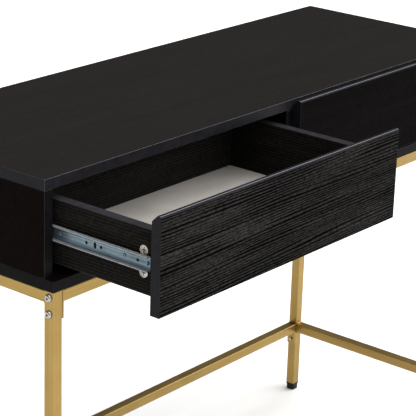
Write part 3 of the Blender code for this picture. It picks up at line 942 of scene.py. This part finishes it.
def build_cage(node, towards_box):
    """A thin cage with two rows of steel balls."""
    low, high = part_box(node)
    height = (low.z + high.z) / 2
    cage = rolled_channel(
        f"{node}_strip",
        Vector((low.x, low.y, height - CAGE_HEIGHT / 2)),
        Vector((high.x, high.y, height + CAGE_HEIGHT / 2)),
        towards_box,
        CAGE_STEEL,
        CAGE_DIP,
    )
    balls = []
    pitch = (high.y - low.y) / BALLS_IN_ROW
    outer_low, outer_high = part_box(node.replace("ball_cage", "cabinet_member"))
    inner_low, inner_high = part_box(node.replace("ball_cage", "drawer_member"))
    between = (max(outer_low.x, inner_low.x) + min(outer_high.x, inner_high.x)) / 2
    for z in (high.z - BALL_RADIUS, low.z + BALL_RADIUS):
        for step in range(BALLS_IN_ROW):
            bpy.ops.object.select_all(action="DESELECT")
            bpy.ops.mesh.primitive_uv_sphere_add(
                segments=16,
                ring_count=10,
                radius=BALL_RADIUS,
                location=(between, low.y + pitch * (step + 0.5), z),
            )
            balls.append(paint(close(begin("ball")), BALL_STEEL))
    gather(cage, balls)
    install(cage, node)


# Frame


def tube(name, low, high, axis):
    """A welded square tube with round corners, open at both ends."""
    obj = block(name, low, high)
    pick("EDGE", runs_along(axis))
    rounded(TUBE_CORNER, 5)
    pick("FACE", looks_along(axis))
    bpy.ops.mesh.inset(thickness=TUBE_WALL)
    bpy.ops.mesh.bridge_edge_loops()
    return paint(close(obj), GOLD_ALONG[axis])


def weld_bead(name, start, end):
    """A rippled bead of weld from one point to another, thinner at its ends."""
    start, end = Vector(start), Vector(end)
    steps = max(4, round((end - start).length / WELD_RIPPLE) * 2)
    move = (end - start) / steps
    bpy.ops.object.select_all(action="DESELECT")
    bpy.ops.mesh.primitive_circle_add(
        vertices=WELD_SIDES,
        radius=WELD_RADIUS * WELD_END,
        fill_type="NGON",
        location=start,
        rotation=move.to_track_quat("Z", "Y").to_euler(),
    )
    obj = begin(name)
    bpy.ops.mesh.select_all(action="SELECT")
    size = WELD_END
    for step in range(1, steps + 1):
        wanted = WELD_END if step == steps else (1.0 if step % 2 else WELD_DIP)
        bpy.ops.mesh.extrude_region_move(TRANSFORM_OT_translate={"value": move})
        bpy.ops.transform.resize(value=(wanted / size,) * 3, center_override=start + move * step)
        size = wanted
    return paint(close(obj), GOLD_WELD)


def build_side_frame(node):
    """Two legs with a rail and a stretcher welded between them."""
    low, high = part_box(node)
    legs = {"front": low.y, "rear": high.y - TUBE}
    obj = tube(f"{node}_tubes", low, (high.x, low.y + TUBE, high.z), Z)
    others = [tube("leg", (low.x, legs["rear"], low.z), high, Z)]
    inside_front, inside_rear = legs["front"] + TUBE, legs["rear"]
    for underside in (high.z - TUBE, STRETCHER_UNDERSIDE):
        others.append(
            tube(
                "run",
                (low.x + WELD_STEP, inside_front - WELD_OVERLAP, underside + WELD_STEP),
                (high.x - WELD_STEP, inside_rear + WELD_OVERLAP, underside + TUBE - WELD_STEP),
                Y,
            )
        )
        corners = [underside]
        if underside + TUBE < high.z - TUBE:
            corners.append(underside + TUBE)
        for z in corners:
            for y in (inside_front, inside_rear):
                start = (low.x + TUBE_CORNER, y, z)
                others.append(weld_bead("bead", start, (high.x - TUBE_CORNER, y, z)))
    install(gather(obj, others), node)


def build_cross_member(node):
    """A tube with a plate welded on each end, which takes two bolts."""
    low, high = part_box(node)
    tube_low = high.z - TUBE
    left_end = (low.x + PLATE / 2, low.y, tube_low)
    obj = tube(f"{node}_tube", left_end, (high.x - PLATE / 2, high.y, high.z), X)
    others = []
    for plate_low, inner in ((low.x, low.x + PLATE), (high.x - PLATE, high.x - PLATE)):
        plate = block(
            "plate",
            (plate_low, low.y + WELD_STEP, low.z),
            (plate_low + PLATE, high.y - WELD_STEP, high.z - WELD_STEP),
        )
        pick("EDGE", lambda edge: runs_along(X)(edge) and lies_at(Z, low.z)(edge))
        rounded(PLATE_CORNER, 4)
        pick("EDGE", sharper_than(60))
        rounded(PLATE_EDGE, 2)
        others.append(paint(close(plate), GOLD_ALONG[Z]))
        front, back = low.y + TUBE_CORNER, high.y - TUBE_CORNER
        others.append(weld_bead("bead", (inner, front, tube_low), (inner, back, tube_low)))
    install(gather(obj, others), node)


def build_feet():
    """Plug feet: a rounded square pad under a square flange, and the ribbed plug in the leg."""
    low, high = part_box("foot_front_left")
    axis = (low + high) / 2

    def around(half, bottom, top):
        return (axis.x - half, axis.y - half, bottom), (axis.x + half, axis.y + half, top)

    foot = block("foot_pad", *around(FOOT_WIDTH / 2, low.z, FLANGE_LOW + GROOVE_ROOM))
    pick("EDGE", runs_along(Z))
    rounded(FOOT_CORNER, 6)
    pick("EDGE", lies_at(Z, low.z))
    rounded(FOOT_SOLE_ROUND, 5)
    close(foot)
    flange = block("flange", (low.x, low.y, FLANGE_LOW), (high.x, high.y, FLANGE_HIGH))
    pick("EDGE", runs_along(Z))
    rounded(TUBE_CORNER, 4)
    pick("EDGE", lambda edge: lies_at(Z, FLANGE_LOW)(edge) and sharper_than(60)(edge))
    rounded(FLANGE_EDGE, 3)
    join_on(foot, close(flange))
    half = TUBE / 2 - TUBE_WALL - GROOVE_ROOM
    plug = block("plug", *around(half - RIB, FLANGE_HIGH - GROOVE_ROOM, high.z))
    join_on(foot, close(plug))
    for step in range(RIBS):
        z = FLANGE_HIGH + FIRST_RIB + RIB_PITCH * step
        join_on(foot, close(block("rib", *around(half, z, z + RIB))))
    paint(foot, FOOT_PLASTIC)
    for node in (n for n in BODY_OF if n.startswith("foot_")):
        other_low, other_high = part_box(node)
        move = Matrix.Translation((other_low + other_high) / 2 - axis)
        install(copy_of(foot, f"{node}_plug", move), node)
    bpy.data.objects.remove(foot)


# Studio


def build_floor():
    bpy.ops.object.select_all(action="DESELECT")
    bpy.ops.mesh.primitive_plane_add(size=FLOOR_SIZE, location=(0, 0, 0))
    floor = bpy.context.object
    floor.name = "studio_floor"
    material, _, _ = new_finish(
        "white_seamless_paper", Roughness=0.9, Specular_IOR_Level=0.1, Base_Color=linear("f3f3f2")
    )
    floor.data.materials.append(material)


def build_lights():
    """A bright even room: one very wide soft light from above the front right, and a faint
    fill. The room shows white to the camera only."""
    world = bpy.data.worlds.new("studio_room")
    bpy.context.scene.world = world
    world.use_nodes = True
    tree = world.node_tree
    room = tree.nodes["Background"]
    room.inputs["Color"].default_value = (1, 1, 1, 1)
    room.inputs["Strength"].default_value = ROOM_LIGHT
    seen = add(tree, "ShaderNodeBackground", {"Color": (1, 1, 1, 1), "Strength": 1.0})
    path = add(tree, "ShaderNodeLightPath")
    mixed = add(
        tree,
        "ShaderNodeMixShader",
        {0: path.outputs["Is Camera Ray"], 1: room.outputs[0], 2: seen.outputs[0]},
    )
    tree.links.new(mixed.outputs[0], tree.nodes["World Output"].inputs["Surface"])
    data = bpy.data.lights.new("soft_overhead", "SUN")
    data.energy = SOFT_LIGHT
    data.angle = math.radians(SOFT_LIGHT_WIDTH)
    lamp = bpy.data.objects.new("soft_overhead", data)
    bpy.context.scene.collection.objects.link(lamp)
    lamp.rotation_euler = Vector(SOFT_LIGHT_FROM).to_track_quat("Z", "Y").to_euler()


def build_camera():
    """The camera stands to the left and in front, above the worktop, a little tipped."""
    data = bpy.data.cameras.new("camera")
    data.sensor_width = CAMERA_SENSOR
    data.lens = CAMERA_LENS
    data.clip_end = 200
    camera = bpy.data.objects.new("camera", data)
    bpy.context.scene.collection.objects.link(camera)
    heading = Matrix.Rotation(-math.radians(CAMERA_HEADING), 4, "Z")
    pitch = Matrix.Rotation(math.pi / 2 - math.radians(CAMERA_PITCH), 4, "X")
    roll = Matrix.Rotation(math.radians(CAMERA_ROLL), 4, "Z")
    camera.matrix_world = Matrix.Translation(CAMERA_AT) @ heading @ pitch @ roll
    bpy.context.scene.camera = camera


build_case()
for drawer in ("left_drawer", "right_drawer"):
    build_front(drawer)
    build_box(drawer)
    build_cams(drawer)
    for side in ("left", "right"):
        build_slide(drawer, side)
for node in ("side_frame_left", "side_frame_right"):
    build_side_frame(node)
for node in ("front_rail", "rear_rail", "rear_stretcher"):
    build_cross_member(node)
build_bolts()
build_feet()
build_floor()
build_lights()
build_camera()
bpy.context.scene.view_settings.view_transform = "Standard"
